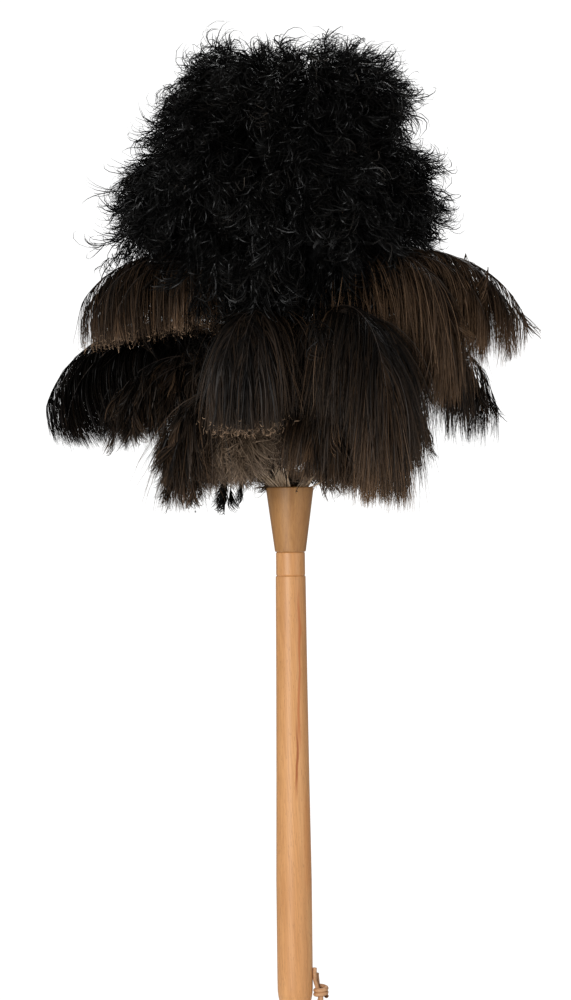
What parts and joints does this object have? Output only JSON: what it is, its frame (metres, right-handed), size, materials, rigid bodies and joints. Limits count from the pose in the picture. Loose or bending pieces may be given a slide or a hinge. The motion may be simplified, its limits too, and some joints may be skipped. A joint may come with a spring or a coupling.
{
  "type": "feather duster",
  "caption": "Ostrich feather duster: full head of black and dark brown drooping plumes on a long turned beech handle with a cone collar and a leather hanging thong.",
  "frame": {"origin": "centre of the straight grip on the handle's axis", "axes": "+Z along the handle towards the feather head; the thong's cross-hole runs along X; the front of the head faces -Y"},
  "size_m": [0.4417, 0.4055, 0.9861],
  "materials": {
    "beech": "satin",
    "beech_dark": "satin",
    "twine": "matte",
    "glue": "matte",
    "thong_leather": "matte",
    "down_grey_brown": "matte",
    "plume_black": "satin",
    "plume_brown": "satin"
  },
  "bodies": {
    "duster": {"back_left_down": "down_grey_brown", "back_left_lower_plume": "plume_brown", "back_left_under_plume": "plume_brown", "back_left_upper_plume": "plume_brown", "back_lower_plume": "plume_brown", "back_right_down": "down_grey_brown", "back_right_lower_plume": "plume_brown", "back_right_under_plume": "plume_brown", "back_right_upper_plume": "plume_brown", "back_upper_plume": "plume_brown", "core_dowel": "beech", "crown_back_plume": "plume_black", "crown_binding": "twine", "crown_centre_tuft": "plume_black", "crown_front_plume": "plume_black", "crown_left_plume": "plume_black", "crown_right_plume": "plume_black", "crown_side_plume_1": "plume_black", "crown_side_plume_2": "plume_black", "crown_side_plume_3": "plume_black", "crown_side_plume_4": "plume_black", "crown_side_plume_5": "plume_black", "front_left_down": "down_grey_brown", "front_left_plume": "plume_brown", "front_left_under_plume": "plume_brown", "front_right_plume": "plume_brown", "front_under_plume": "plume_brown", "handle": "beech", "left_down": "down_grey_brown", "left_lower_plume": "plume_brown", "left_under_plume": "plume_brown", "left_upper_plume": "plume_brown", "lower_binding": "twine", "potting_glue": "glue", "right_down": "down_grey_brown", "right_lower_plume": "plume_brown", "right_under_plume": "plume_brown", "right_upper_plume": "plume_brown", "shoulder_binding": "twine", "shoulder_plume_1": "plume_black", "shoulder_plume_2": "plume_black", "shoulder_plume_3": "plume_black", "shoulder_plume_4": "plume_black", "shoulder_plume_5": "plume_black", "shoulder_plume_6": "plume_black", "skirt_binding": "twine", "socket_cone": "beech_dark", "top_binding": "twine", "under_binding": "twine", "waist_binding": "twine", "waist_plume_1": "plume_black", "waist_plume_2": "plume_black", "waist_plume_3": "plume_black", "waist_plume_4": "plume_black", "waist_plume_5": "plume_black", "waist_plume_6": "plume_black"},
    "hanging_thong": {"thong_loop": "thong_leather", "thong_knot": "thong_leather", "thong_tails": "thong_leather"}
  },
  "joints": [
    {"name": "loop_swing", "type": "hinge", "parent": "duster", "child": "hanging_thong", "pos_m": [0, 0, -0.078], "axis": [1, 0, 0], "range_deg": [-155, 155]}
  ]
}
